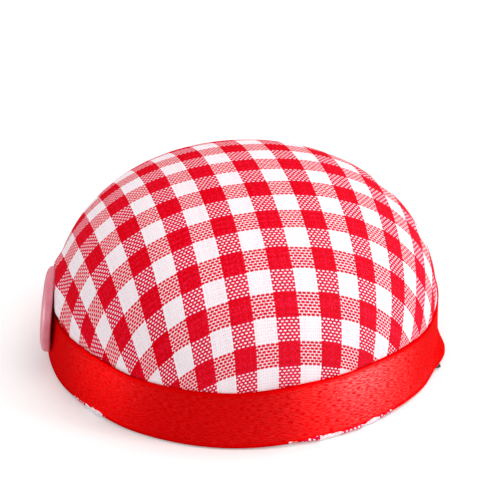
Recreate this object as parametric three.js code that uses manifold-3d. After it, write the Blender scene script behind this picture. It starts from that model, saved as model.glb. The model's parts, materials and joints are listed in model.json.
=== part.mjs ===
// Wrist pincushion: a stuffed gingham dome on a cloth-covered board, with a satin ribbon round
// the join, a sewn button at its side and a flat elastic strap folded under the board.
// Millimetres, +Z up. The origin is the middle of the strap's underside, which lies on the table.
// The strap's middle holds still on the wrist, and the cushion lifts from it as the elastic stretches.

import * as THREE from "three";
import { mergeVertices } from "three/addons/utils/BufferGeometryUtils.js";
import Module from "manifold-3d";

// Cushion: the gingham cover, its stuffing and the thread that draws its hem together
const COVER_RADIUS = 33.3; // widest ring, under the ribbon
const COVER_RISE = 25.4; // crown above the widest ring
const COVER_FULLNESS = 2.3; // 2 is an ellipse, more is squarer in the shoulder
const COVER_TUCK = 1.6; // radius of the turn from the side into the hem
const COVER_CLOTH = 0.5;
const HEM_OPENING_RADIUS = 12;
const GATHER_THREAD_RADIUS = 0.25;
const GATHER_STITCHES = 18;
const GATHER_WAVE = 0.1; // rise and fall of each stitch

// Base: a grey board in a gingham wrapper
const BOARD_THICKNESS = 1.6;
const BASE_CLOTH = 0.4;
const BASE_HEM_OPENING_RADIUS = 22;

// Glue pads on both sides of the strap's tails
const GLUE_TO_RIM = 7; // inside the base's rim
const GLUE_TO_STRAP = 2;

// Satin ribbon
const RIBBON_WIDTH = 10.2;
const RIBBON_THICKNESS = 0.3;
const RIBBON_FLARE = 1.1; // how much wider its lower edge is than its upper edge
const RIBBON_OVERHANG = 1; // how far its lower edge hangs below the base
const RIBBON_LAP_AZIMUTH = THREE.MathUtils.degToRad(90); // at the back
const RIBBON_LAP = 12; // length of the overlapping ends
const RIBBON_LAP_GAP = 0.12; // between the two ends where they overlap
const RIBBON_RAMP = 15; // length over which the outer end rises onto the inner one

// Button and its thread
const BUTTON_AZIMUTH = THREE.MathUtils.degToRad(186);
const BUTTON_TURN = THREE.MathUtils.degToRad(-7); // it faces a little to the back
const BUTTON_DIAMETER = 15;
const BUTTON_THICKNESS = 1.9;
const BUTTON_EDGE = 0.4; // radius of the rim's back edge
const BUTTON_SHOULDER = 2.3; // width of the rounded rim, seen from the front
const BUTTON_CROWN = 1; // how far the rim falls away from the front
const BUTTON_STANDOFF = 0.3;
const BUTTON_RISE = 0.8; // its lower rim above the ribbon's lower edge
const BUTTON_WELL_RADIUS = 4.2;
const BUTTON_WELL_DEPTH = 0.5;
const BUTTON_WELL_SLOPE = 0.6;
const BUTTON_HOLE_RADIUS = 0.7;
const BUTTON_HOLE_PITCH = 2.8; // side of the square of four holes
const BUTTON_THREAD_RADIUS = 0.3;
const BUTTON_THREAD_PAD = 0.3; // thickness of the crossed thread in the back recess
const BUTTON_SHANK_RADIUS = 0.7;
const BUTTON_KNOT_RADIUS = 1.3;

// Elastic strap
const STRAP_AZIMUTH = THREE.MathUtils.degToRad(-7);
const STRAP_WIDTH = 16;
const STRAP_THICKNESS = 1;
const STRAP_MIDDLE = 18; // length that stays flat on the wrist
const STRAP_TAIL = 14; // length glued in above the base
const STRAP_TURN = 5; // length below the base that stays with the fold

// Fit and fineness
const FIT_GAP = 0.3;
const ROUND_SEGMENTS = 40;
const RIBBON_SEGMENTS = 72;
const CROWN_STEPS = 9;
const TURN_STEPS = 4;

// Heights, from the table up
const baseBottom = STRAP_THICKNESS + FIT_GAP;
const boardBottom = baseBottom + BASE_CLOTH + FIT_GAP;
const boardTop = boardBottom + BOARD_THICKNESS;
const baseTop = boardTop + FIT_GAP + BASE_CLOTH;
const tailBottom = baseTop + FIT_GAP;
const tailTop = tailBottom + STRAP_THICKNESS;
const cushionBottom = tailTop + FIT_GAP;
const stuffingBottom = cushionBottom + COVER_CLOTH + FIT_GAP;
const widestHeight = cushionBottom + COVER_TUCK;
const ribbonBottom = baseBottom - RIBBON_OVERHANG;
const ribbonTop = ribbonBottom + Math.sqrt(RIBBON_WIDTH ** 2 - RIBBON_FLARE ** 2);

// Radii, from the cover out
const ribbonInnerTop = COVER_RADIUS + FIT_GAP;
const ribbonLean = Math.asin(RIBBON_FLARE / RIBBON_WIDTH);
const lapOffset = RIBBON_THICKNESS + RIBBON_LAP_GAP;
const baseRadius = ribbonInnerRadius(baseTop) - FIT_GAP;
// The base is cut flat at both ends of the strap, so that the fold stays inside the ribbon.
const foldFace = Math.sqrt((ribbonInnerRadius(tailTop) - FIT_GAP) ** 2 - (STRAP_WIDTH / 2) ** 2);
const baseFlat = foldFace - STRAP_THICKNESS - FIT_GAP;

function ribbonInnerRadius(height) {
  return ribbonInnerTop + (RIBBON_FLARE * (ribbonTop - height)) / (ribbonTop - ribbonBottom);
}

// Solids: geometry to and from closed bodies that can be joined and cut

const wasm = await Module();
wasm.setup();

function solidOf(geometry) {
  const bare = geometry.clone();
  for (const name of Object.keys(bare.attributes)) {
    if (name !== "position") bare.deleteAttribute(name);
  }
  const merged = mergeVertices(bare, 1e-4);
  return new wasm.Manifold(
    new wasm.Mesh({
      numProp: 3,
      vertProperties: new Float32Array(merged.attributes.position.array),
      triVerts: new Uint32Array(merged.index.array),
    }),
  );
}

function geometryOf(solid) {
  const { vertProperties, triVerts } = solid.getMesh();
  const geometry = new THREE.BufferGeometry();
  geometry.setAttribute("position", new THREE.BufferAttribute(vertProperties, 3));
  geometry.setIndex(new THREE.BufferAttribute(triVerts, 1));
  geometry.computeVertexNormals();
  return geometry;
}

function cut(geometry, ...tools) {
  return geometryOf(tools.reduce((left, tool) => left.subtract(solidOf(tool)), solidOf(geometry)));
}

function join(...geometries) {
  return geometryOf(geometries.map(solidOf).reduce((sum, next) => sum.add(next)));
}

// Shapes

// A profile of (radius, height) points turned about Z, from the axis up and round to the axis.
function turned(profile) {
  return new THREE.LatheGeometry(profile, ROUND_SEGMENTS).rotateX(Math.PI / 2);
}

function plate(shape, bottom, top) {
  const options = { depth: top - bottom, bevelEnabled: false, curveSegments: ROUND_SEGMENTS / 2 };
  return new THREE.ExtrudeGeometry(shape, options).translate(0, 0, bottom);
}

function box(from, to) {
  const size = new THREE.Vector3().subVectors(to, from);
  const middle = new THREE.Vector3().addVectors(from, to).multiplyScalar(0.5);
  return new THREE.BoxGeometry(...size).translate(...middle);
}

// A cylinder along X, for what lies along the button's axis.
function rod(radius, from, to, segments = 16) {
  const geometry = new THREE.CylinderGeometry(radius, radius, to - from, segments);
  return geometry.rotateZ(-Math.PI / 2).translate((from + to) / 2, 0, 0);
}

// A disc cut flat at x = +flat and x = -flat.
function flattedDisc(radius, flat) {
  const angle = Math.acos(flat / radius);
  const shape = new THREE.Shape();
  shape.moveTo(flat, -radius * Math.sin(angle));
  shape.absarc(0, 0, radius, angle, Math.PI - angle);
  shape.absarc(0, 0, radius, Math.PI + angle, 2 * Math.PI - angle);
  return shape;
}

// The cushion's outline: the turn up from its underside, then the crown up to the axis.
function cushionOutline(radius, rise, tuck) {
  const points = [];
  for (let i = 0; i < TURN_STEPS; i += 1) {
    const angle = (Math.PI / 2) * (i / TURN_STEPS);
    const x = radius - tuck + tuck * Math.sin(angle);
    points.push(new THREE.Vector2(x, widestHeight - tuck * Math.cos(angle)));
  }
  for (let i = 0; i < CROWN_STEPS; i += 1) {
    const angle = (Math.PI / 2) * (i / CROWN_STEPS);
    const x = radius * Math.cos(angle) ** (2 / COVER_FULLNESS);
    points.push(new THREE.Vector2(x, widestHeight + rise * Math.sin(angle) ** (2 / COVER_FULLNESS)));
  }
  points.push(new THREE.Vector2(0, widestHeight + rise));
  return points;
}

function inset(depth) {
  return cushionOutline(COVER_RADIUS - depth, COVER_RISE - depth, COVER_TUCK - depth);
}

// The button's place on the ribbon, leaning with it

const buttonHeight = ribbonBottom + BUTTON_RISE + (BUTTON_DIAMETER / 2) * Math.cos(ribbonLean);
const buttonSeat = ribbonInnerRadius(buttonHeight) + RIBBON_THICKNESS;
const buttonPlace = new THREE.Group();
buttonPlace.rotation.set(0, -ribbonLean, BUTTON_AZIMUTH + BUTTON_TURN, "ZYX");
buttonPlace.position.set(
  buttonSeat * Math.cos(BUTTON_AZIMUTH),
  buttonSeat * Math.sin(BUTTON_AZIMUTH),
  buttonHeight,
);
buttonPlace.updateMatrix();
const stuffingFace = COVER_RADIUS - COVER_CLOTH - FIT_GAP - buttonSeat;
const knotPlace = stuffingFace - FIT_GAP - BUTTON_KNOT_RADIUS;

// The channel that the button's thread runs through in the ribbon and the cover.
function threadChannel() {
  return rod(BUTTON_SHANK_RADIUS + FIT_GAP, knotPlace, FIT_GAP).applyMatrix4(buttonPlace.matrix);
}

// The room round the knot, open to the side of the stuffing.
function knotPocket() {
  const radius = BUTTON_KNOT_RADIUS + FIT_GAP;
  return rod(radius, knotPlace - radius, FIT_GAP).applyMatrix4(buttonPlace.matrix);
}

// Cushion

// The cover's two skins meet the axis at the crown, and close on each other at the hem's opening.
function topCover() {
  const outer = cushionOutline(COVER_RADIUS, COVER_RISE, COVER_TUCK);
  const inner = inset(COVER_CLOTH).reverse();
  const hemBottom = new THREE.Vector2(HEM_OPENING_RADIUS, cushionBottom);
  const hemTop = new THREE.Vector2(HEM_OPENING_RADIUS, cushionBottom + COVER_CLOTH);
  const profile = [hemBottom, ...outer, ...inner, hemTop, hemBottom];
  return cut(turned(profile), threadChannel());
}

function stuffing() {
  const outline = inset(COVER_CLOTH + FIT_GAP);
  return cut(turned([new THREE.Vector2(0, stuffingBottom), ...outline]), knotPocket());
}

function gatherThread() {
  const ring = HEM_OPENING_RADIUS - FIT_GAP - GATHER_THREAD_RADIUS;
  const geometry = new THREE.TorusGeometry(ring, GATHER_THREAD_RADIUS, 6, 4 * GATHER_STITCHES);
  const places = geometry.attributes.position;
  for (let i = 0; i < places.count; i += 1) {
    const angle = Math.atan2(places.getY(i), places.getX(i));
    places.setZ(i, places.getZ(i) + GATHER_WAVE * Math.sin(GATHER_STITCHES * angle));
  }
  return geometry.translate(0, 0, cushionBottom + COVER_CLOTH / 2);
}

// Base

function baseCover() {
  const wrapper = plate(flattedDisc(baseRadius, baseFlat), baseBottom, baseTop);
  const room = flattedDisc(baseRadius - BASE_CLOTH, baseFlat - BASE_CLOTH);
  const opening = new THREE.Shape().absarc(0, 0, BASE_HEM_OPENING_RADIUS, 0, 2 * Math.PI);
  return cut(
    wrapper,
    plate(room, baseBottom + BASE_CLOTH, baseTop - BASE_CLOTH),
    plate(opening, boardTop, baseTop + FIT_GAP),
  );
}

function baseBoard() {
  const play = BASE_CLOTH + FIT_GAP;
  return plate(flattedDisc(baseRadius - play, baseFlat - play), boardBottom, boardTop);
}

function gluePad() {
  const edge = STRAP_WIDTH / 2 + GLUE_TO_STRAP;
  const radius = baseRadius - GLUE_TO_RIM;
  const angle = Math.asin(edge / radius);
  const shape = new THREE.Shape().absarc(0, 0, radius, angle, Math.PI - angle);
  return plate(shape, tailBottom, tailTop);
}

// Ribbon: one strip wound once round, with its outer end lapped over its start

function ribbonBand() {
  const turn = 2 * Math.PI;
  const lap = RIBBON_LAP / ribbonInnerTop;
  const ramp = RIBBON_RAMP / ribbonInnerTop;
  const start = RIBBON_LAP_AZIMUTH - lap / 2;
  const steps = Math.round(RIBBON_SEGMENTS * (1 + lap / turn));
  const positions = [];
  const faces = [];
  for (let i = 0; i <= steps; i += 1) {
    const along = ((turn + lap) * i) / steps;
    const lift = lapOffset * THREE.MathUtils.smoothstep(along, turn - ramp, turn);
    for (const [height, depth] of [
      [ribbonBottom, 0],
      [ribbonBottom, RIBBON_THICKNESS],
      [ribbonTop, RIBBON_THICKNESS],
      [ribbonTop, 0],
    ]) {
      const radius = ribbonInnerRadius(height) + depth + lift;
      positions.push(radius * Math.cos(start + along), radius * Math.sin(start + along), height);
    }
  }
  for (let i = 0; i < steps; i += 1) {
    for (let corner = 0; corner < 4; corner += 1) {
      const a = 4 * i + corner;
      const b = 4 * i + ((corner + 1) % 4);
      faces.push(a, a + 4, b, b, a + 4, b + 4);
    }
  }
  const last = 4 * steps;
  faces.push(0, 1, 2, 0, 2, 3);
  faces.push(last, last + 2, last + 1, last, last + 3, last + 2);
  const geometry = new THREE.BufferGeometry();
  geometry.setAttribute("position", new THREE.Float32BufferAttribute(positions, 3));
  geometry.setIndex(faces);
  return cut(geometry, threadChannel());
}

// Button, along X from the ribbon out

const buttonBack = BUTTON_STANDOFF;
const buttonFront = BUTTON_STANDOFF + BUTTON_THICKNESS;
const wellFloor = buttonFront - BUTTON_WELL_DEPTH;
const padRadius = BUTTON_HOLE_PITCH / Math.SQRT2 + BUTTON_THREAD_RADIUS;
const recessFloor = buttonBack + BUTTON_THREAD_PAD + FIT_GAP;
const stitchHeight = wellFloor + FIT_GAP + BUTTON_THREAD_RADIUS;
const holeCorners = [-1, 1].flatMap((y) => [-1, 1].map((z) => [y, z]));

function atHole(geometry, [y, z]) {
  return geometry.translate(0, (y * BUTTON_HOLE_PITCH) / 2, (z * BUTTON_HOLE_PITCH) / 2);
}

function button() {
  const radius = BUTTON_DIAMETER / 2;
  const recess = padRadius + FIT_GAP;
  const outline = new THREE.Path();
  outline.moveTo(0, recessFloor);
  outline.lineTo(recess, recessFloor);
  outline.lineTo(recess, buttonBack);
  outline.lineTo(radius - BUTTON_EDGE, buttonBack);
  outline.absarc(radius - BUTTON_EDGE, buttonBack + BUTTON_EDGE, BUTTON_EDGE, -Math.PI / 2, 0);
  outline.absellipse(
    radius - BUTTON_SHOULDER,
    buttonFront - BUTTON_CROWN,
    BUTTON_SHOULDER,
    BUTTON_CROWN,
    0,
    Math.PI / 2,
  );
  outline.lineTo(BUTTON_WELL_RADIUS + BUTTON_WELL_SLOPE, buttonFront);
  outline.lineTo(BUTTON_WELL_RADIUS, wellFloor);
  outline.lineTo(0, wellFloor);
  const disc = turned(outline.getPoints(TURN_STEPS)).rotateY(Math.PI / 2);
  const holes = holeCorners.map((corner) => atHole(rod(BUTTON_HOLE_RADIUS, 0, buttonFront), corner));
  return cut(disc, ...holes);
}

function buttonThread() {
  const middle = buttonBack + BUTTON_THREAD_PAD / 2;
  const knot = new THREE.SphereGeometry(BUTTON_KNOT_RADIUS, 14, 10).translate(knotPlace, 0, 0);
  const shank = rod(BUTTON_SHANK_RADIUS, knotPlace, middle);
  const pad = rod(padRadius, buttonBack, buttonBack + BUTTON_THREAD_PAD, 24);
  const legs = holeCorners.map((corner) =>
    atHole(rod(BUTTON_THREAD_RADIUS, middle, stitchHeight, 8), corner),
  );
  const stitches = [-1, 1].map((side) => {
    const bar = new THREE.CapsuleGeometry(BUTTON_THREAD_RADIUS, BUTTON_HOLE_PITCH, 3, 8);
    return bar.translate(stitchHeight, 0, (side * BUTTON_HOLE_PITCH) / 2);
  });
  return join(knot, shank, pad, ...legs, ...stitches);
}

// Strap, along X

const foldRoom = baseFlat + FIT_GAP;
const runStart = STRAP_MIDDLE / 2 + FIT_GAP;
const runEnd = foldRoom - STRAP_TURN - FIT_GAP;

function strapLength(from, to) {
  const half = STRAP_WIDTH / 2;
  return box(new THREE.Vector3(from, -half, 0), new THREE.Vector3(to, half, STRAP_THICKNESS));
}

// From below the base's rim, round its edge and back in above the board.
function strapTail() {
  const turn = STRAP_THICKNESS;
  const profile = new THREE.Shape();
  profile.moveTo(foldRoom - STRAP_TURN, 0);
  profile.absarc(foldFace - turn, turn, turn, -Math.PI / 2, 0);
  profile.absarc(foldFace - turn, tailTop - turn, turn, 0, Math.PI / 2);
  profile.lineTo(foldRoom - STRAP_TAIL, tailTop);
  profile.lineTo(foldRoom - STRAP_TAIL, tailBottom);
  profile.lineTo(foldRoom, tailBottom);
  profile.lineTo(foldRoom, STRAP_THICKNESS);
  profile.lineTo(foldRoom - STRAP_TURN, STRAP_THICKNESS);
  const options = { depth: STRAP_WIDTH, bevelEnabled: false, curveSegments: TURN_STEPS };
  const geometry = new THREE.ExtrudeGeometry(profile, options);
  return geometry.rotateX(Math.PI / 2).translate(0, STRAP_WIDTH / 2, 0);
}

// The assembly

function piece(name, geometry, color, roughness, metalness = 0) {
  const material = new THREE.MeshStandardMaterial({ color, roughness, metalness });
  const mesh = new THREE.Mesh(geometry, material);
  mesh.name = name;
  return mesh;
}

const GINGHAM_RED = 0xe06a7c;
const FILLING_WHITE = 0xf2efe9;
const BOARD_GREY = 0x9a9388;
const GLUE_CLEAR = 0xe8e2d0;
const SATIN_RED = 0xd80812;
const BUTTON_PINK = 0xe49bb0;
const THREAD_WHITE = 0xf4f0ee;
const ELASTIC_BLACK = 0x141416;

const pincushion = new THREE.Group();
pincushion.add(
  piece("top_cover", topCover(), GINGHAM_RED, 0.9),
  piece("stuffing", stuffing(), FILLING_WHITE, 1),
  piece("gather_thread", gatherThread(), THREAD_WHITE, 0.8),
  piece("ribbon_band", ribbonBand(), SATIN_RED, 0.35),
);

buttonPlace.add(
  piece("button", button(), BUTTON_PINK, 0.25),
  piece("button_thread", buttonThread(), THREAD_WHITE, 0.8),
);
pincushion.add(buttonPlace);

const base = new THREE.Group();
base.rotation.z = STRAP_AZIMUTH;
base.add(
  piece("base_cover", baseCover(), GINGHAM_RED, 0.9),
  piece("base_board", baseBoard(), BOARD_GREY, 0.95),
  piece("strap_middle", strapLength(-STRAP_MIDDLE / 2, STRAP_MIDDLE / 2), ELASTIC_BLACK, 0.85),
);
for (const [side, turn] of [
  ["right", 0],
  ["left", Math.PI],
]) {
  const half = new THREE.Group();
  half.rotation.z = turn;
  half.add(
    piece(`strap_${side}_run`, strapLength(runStart, runEnd), ELASTIC_BLACK, 0.85),
    piece(`strap_${side}_tail`, strapTail(), ELASTIC_BLACK, 0.85),
    piece(side === "right" ? "glue_pad_back" : "glue_pad_front", gluePad(), GLUE_CLEAR, 0.3),
  );
  base.add(half);
}
pincushion.add(base);

export default pincushion;
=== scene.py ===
import json
from math import asin, atan2, copysign, cos, hypot, pi, radians, sin

import bmesh
import bpy
from bpy.props import FloatProperty, FloatVectorProperty, IntProperty, PointerProperty
from mathutils import Matrix, Vector, noise
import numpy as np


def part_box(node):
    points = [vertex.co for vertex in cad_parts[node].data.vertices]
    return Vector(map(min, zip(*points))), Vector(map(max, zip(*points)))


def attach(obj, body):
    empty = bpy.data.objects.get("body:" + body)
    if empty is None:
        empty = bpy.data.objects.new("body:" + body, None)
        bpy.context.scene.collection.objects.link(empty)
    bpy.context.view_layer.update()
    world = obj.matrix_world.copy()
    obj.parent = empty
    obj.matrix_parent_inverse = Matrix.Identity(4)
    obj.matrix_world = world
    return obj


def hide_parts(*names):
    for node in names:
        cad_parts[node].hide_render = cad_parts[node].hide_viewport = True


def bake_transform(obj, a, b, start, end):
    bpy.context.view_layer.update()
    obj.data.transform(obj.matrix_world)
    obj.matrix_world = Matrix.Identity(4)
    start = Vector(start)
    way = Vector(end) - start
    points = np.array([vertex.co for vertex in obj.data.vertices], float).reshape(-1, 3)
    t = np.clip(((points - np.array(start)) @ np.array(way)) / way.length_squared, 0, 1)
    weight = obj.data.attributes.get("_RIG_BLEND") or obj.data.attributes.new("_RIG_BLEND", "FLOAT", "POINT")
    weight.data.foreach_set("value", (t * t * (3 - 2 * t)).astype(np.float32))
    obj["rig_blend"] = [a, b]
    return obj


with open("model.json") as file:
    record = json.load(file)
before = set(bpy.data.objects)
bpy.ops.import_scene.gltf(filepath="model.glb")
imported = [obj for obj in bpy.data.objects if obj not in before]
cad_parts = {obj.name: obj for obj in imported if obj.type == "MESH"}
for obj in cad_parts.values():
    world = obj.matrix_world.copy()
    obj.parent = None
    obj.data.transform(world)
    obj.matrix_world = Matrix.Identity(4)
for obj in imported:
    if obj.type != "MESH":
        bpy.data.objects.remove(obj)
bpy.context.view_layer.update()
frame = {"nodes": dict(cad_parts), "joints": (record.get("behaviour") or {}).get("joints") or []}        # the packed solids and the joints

bl_info = {
    "name": "Gingham Wrist Pincushion",
    "version": (1, 0, 0),
    "blender": (4, 5, 0),
    "location": "3D View > Sidebar > Pincushion",
    "description": "Builds a stuffed gingham pincushion with its ribbon, button and elastic wrist strap",
    "category": "Object",
}

MM = 0.001
COVER_LOW, COVER_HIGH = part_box("top_cover")
RIBBON_LOW, RIBBON_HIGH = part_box("ribbon_band")
BASE_LOW, BASE_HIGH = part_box("base_cover")
STRAP_LOW, STRAP_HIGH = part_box("strap_middle")
TAIL_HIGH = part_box("strap_right_tail")[1]
TWIST = next(joint for joint in frame["joints"] if joint["name"] == "button_twist")
WEAVE_MAP = "weave"
WELD = 0.001 * MM


def seen(red, green, blue):
    """The linear colour of a colour written as it is seen, from 0 to 255."""
    def linear(level):
        share = level / 255
        return share / 12.92 if share <= 0.04045 else ((share + 0.055) / 1.055) ** 2.4

    return linear(red), linear(green), linear(blue)


def size(name, description, default):
    """A length that a user may change."""
    return FloatProperty(
        name=name, description=description, default=default, unit="LENGTH", subtype="DISTANCE", precision=5
    )


def turn(name, description, degrees):
    """An angle that a user may change."""
    return FloatProperty(name=name, description=description, default=radians(degrees), subtype="ANGLE")


def amount(name, description, default, unit="NONE"):
    """A number that a user may change, in a unit where one fits."""
    return FloatProperty(name=name, description=description, default=default, unit=unit, precision=4)


def position(name, description, default):
    """A place that a user may change."""
    return FloatVectorProperty(
        name=name, description=description, default=default,
        subtype="TRANSLATION", unit="LENGTH", precision=4,
    )


def colour(name, description, default):
    """A colour that a user may change."""
    return FloatVectorProperty(
        name=name, description=description, default=default, subtype="COLOR", min=0, max=1
    )


def count(name, description, default):
    """A whole number that a user may change."""
    return IntProperty(name=name, description=description, default=default, min=1)


# Settings


class PincushionCloth(bpy.types.PropertyGroup):
    """The gingham and how it lies on the dome"""

    dome_radius: size("Dome radius", "Radius of the dome where it is widest", COVER_HIGH.x + 0.45 * MM)
    dome_waist: size("Waist height", "Height at which the dome is widest", 6.39 * MM)
    dome_fullness: amount("Fullness", "How square the dome's side view is; 2 is an ellipse", 2.3)
    warp_check: size("Warp check", "Width of a stripe of lengthwise threads", 3.848 * MM)
    weft_check: size("Weft check", "Width of a stripe of crosswise threads", 4.169 * MM)
    warp_threads: count("Warp threads", "Lengthwise threads in a stripe", 10)
    weft_threads: count("Weft threads", "Crosswise threads in a stripe", 8)
    grain_turn: turn("Grain turn", "Turn of the cloth's threads about the crown", 12.149)
    lean_back: turn("Lean back", "How far the cloth's middle sits in front of the crown", 3.988)
    lean_side: turn("Lean aside", "How far the cloth's middle sits beside the crown", -1.584)
    warp_ease: amount("Warp ease", "How much the cloth is drawn in at the sides", 0.197)
    weft_ease: amount("Weft ease", "How much the cloth is drawn in at front and back", 0.248)
    pucker_depth: size("Pucker depth", "Depth of the small gathers above the ribbon", 0.22 * MM)
    red: colour("Red thread", "Colour of the dyed threads", seen(227, 0, 16))
    white: colour("White thread", "Colour of the undyed threads", seen(253, 242, 246))


class PincushionRibbon(bpy.types.PropertyGroup):
    """The satin ribbon round the join"""

    width: size("Width", "Width of the ribbon", 10.2 * MM)
    thickness: size("Thickness", "Thickness of the ribbon", 0.3 * MM)
    low_radius: size("Lower radius", "Radius of the ribbon's lower edge", 35 * MM)
    high_radius: size("Upper radius", "Radius of the ribbon's upper edge", 33.9 * MM)
    lap: size("Lap", "Length over which the ribbon's ends lie on each other", 12 * MM)
    red: colour("Satin red", "Colour of the ribbon", seen(212, 0, 2))


class PincushionButton(bpy.types.PropertyGroup):
    """The sewn button"""

    diameter: size("Diameter", "Diameter of the button", 15 * MM)
    thickness: size("Thickness", "Thickness of the button at its ridge", 1.9 * MM)
    standoff: size("Standoff", "Gap between the button's back and its place on the ribbon", -0.5 * MM)
    well_depth: size("Well depth", "Depth of the well round the holes", 0.5 * MM)
    hole_pitch: size("Hole pitch", "Distance between neighbouring holes", 2.8 * MM)
    pink: colour("Pink", "Colour of the button", seen(224, 142, 155))
    thread: colour("Thread", "Colour of the sewing thread", seen(240, 226, 228))


class PincushionStrap(bpy.types.PropertyGroup):
    """The elastic wrist strap"""

    width: size("Width", "Width of the elastic", 16 * MM)
    turn: turn("Turn", "Turn of the strap from left to right across the base", -7)
    fold_reach: size("Fold reach", "Distance from the middle to the outside of the folds", 32.9 * MM)
    tail: size("Tail", "Length of the glued tails above the base", 14 * MM)
    black: colour("Elastic black", "Colour of the elastic", seen(27, 26, 29))


class PincushionStage(bpy.types.PropertyGroup):
    """The floor, the lights and the camera"""

    floor_size: size("Floor size", "Side of the floor", 3)
    eye: position("Camera place", "Where the camera stands", (0, -0.29365, 0.18364))
    aim: position("Camera aim", "The point that the camera faces", (0, 0, 0.0153))
    roll: turn("Camera roll", "Turn of the camera about its line of sight", -1.03)
    lens: amount("Lens", "Focal length", 139.7, "CAMERA")
    key_power: amount("Key light", "Power of the lamp above", 4.6, "POWER")
    side_power: amount("Side light", "Power of the right lamp", 2.7, "POWER")
    gloss_power: amount("Gloss light", "Power of the right lamp for highlights", 80, "POWER")
    left_gloss_power: amount("Left gloss light", "Power of the left lamp for highlights", 7, "POWER")
    fill_power: amount("Fill light", "Power of the left lamp", 1.6, "POWER")
    ambient: amount("Ambient", "Strength of the light from all round", 0.6)


# Finishes


class Number:
    """A number that varies over a surface. Sums and products of it add Math nodes."""

    def __init__(self, finish, socket):
        self.finish = finish
        self.socket = socket

    def math(self, operation, *others):
        sockets = dict(enumerate((self, *others)))
        made = self.finish.node("ShaderNodeMath", {"operation": operation}, sockets)
        return Number(self.finish, made.outputs[0])

    def __add__(self, other):
        return self.math("ADD", other)

    __radd__ = __add__

    def __sub__(self, other):
        return self.math("SUBTRACT", other)

    def __rsub__(self, other):
        return self.math("MULTIPLY_ADD", -1, other)

    def __mul__(self, other):
        return self.math("MULTIPLY", other)

    __rmul__ = __mul__

    def floor(self):
        return self.math("FLOOR")

    def fract(self):
        return self.math("FRACT")

    def absolute(self):
        return self.math("ABSOLUTE")

    def sine(self):
        return self.math("SINE")

    def power(self, exponent):
        return self.math("POWER", exponent)

    def least(self, other):
        return self.math("MINIMUM", other)

    def most(self, other):
        return self.math("MAXIMUM", other)

    def even(self):
        """One where the whole part is even, and nothing where it is odd."""
        return 1 - 2 * (0.5 * self.floor()).fract()

    def smooth(self, low, high):
        """Nothing below low, one above high, and a smooth rise between."""
        sockets = {"Value": self, "From Min": low, "From Max": high}
        made = self.finish.node("ShaderNodeMapRange", {"interpolation_type": "SMOOTHSTEP"}, sockets)
        return Number(self.finish, made.outputs[0])


class NodeTree:
    """A tree of shader nodes, and the one place where nodes are added to it."""

    def __init__(self, tree):
        self.tree = tree

    def feed(self, socket, value):
        """Give a socket a value, or a link to what makes one. A colour gets its alpha here."""
        if isinstance(value, Number):
            value = value.socket
        if isinstance(value, bpy.types.NodeSocket):
            self.tree.links.new(value, socket)
        else:
            socket.default_value = (*value, 1) if socket.type == "RGBA" else value

    def node(self, kind, settings=None, sockets=None):
        """Add a node: its type, then its settings, then the values or links of its sockets."""
        made = self.tree.nodes.new(kind)
        for name, value in (settings or {}).items():
            setattr(made, name, value)
        for key, value in (sockets or {}).items():
            self.feed(made.inputs[key], value)
        return made


class Finish(NodeTree):
    """A material, its principled shader and the nodes that feed it."""

    MIX_FACTOR, MIX_FIRST, MIX_SECOND, MIX_RESULT = 0, 6, 7, 2

    def __init__(self, name, shader=None):
        self.material = bpy.data.materials.new(name)
        self.material.use_nodes = True
        super().__init__(self.material.node_tree)
        self.shader = self.tree.nodes["Principled BSDF"]
        for socket, value in (shader or {}).items():
            self.feed(self.shader.inputs[socket], value)

    def flat_map(self):
        """The place on the flat cloth or strip, as a vector and its two numbers."""
        place = self.node("ShaderNodeUVMap", {"uv_map": WEAVE_MAP}).outputs["UV"]
        parts = self.node("ShaderNodeSeparateXYZ", None, {"Vector": place}).outputs
        return place, Number(self, parts["X"]), Number(self, parts["Y"])

    def object_place(self):
        """The place in the object's own frame."""
        return self.node("ShaderNodeTexCoord").outputs["Object"]

    def stretched(self, place, scale):
        """A place scaled differently along each axis."""
        return self.node("ShaderNodeVectorMath", {"operation": "MULTIPLY"}, {0: place, 1: scale}).outputs[0]

    def noise(self, place, scale, detail=2.0):
        """Soft noise between nothing and one."""
        sockets = {"Vector": place, "Scale": scale, "Detail": detail}
        return Number(self, self.node("ShaderNodeTexNoise", None, sockets).outputs["Fac"])

    def chance(self, number):
        """A fixed random number for each whole number."""
        made = self.node("ShaderNodeTexWhiteNoise", {"noise_dimensions": "1D"}, {"W": number})
        return Number(self, made.outputs["Value"])

    def mix(self, first, second, factor):
        """A mix of two colours."""
        sockets = {self.MIX_FACTOR: factor, self.MIX_FIRST: first, self.MIX_SECOND: second}
        return self.node("ShaderNodeMix", {"data_type": "RGBA"}, sockets).outputs[self.MIX_RESULT]

    def colour(self, socket):
        """Feed the shader's own colour."""
        self.feed(self.shader.inputs["Base Color"], socket)

    def bump(self, height, depth, strength=1.0):
        """Raise the surface by a height from nothing to one, times a depth."""
        sockets = {"Strength": strength, "Distance": depth, "Height": height}
        made = self.node("ShaderNodeBump", None, sockets)
        self.feed(self.shader.inputs["Normal"], made.outputs["Normal"])


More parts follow.
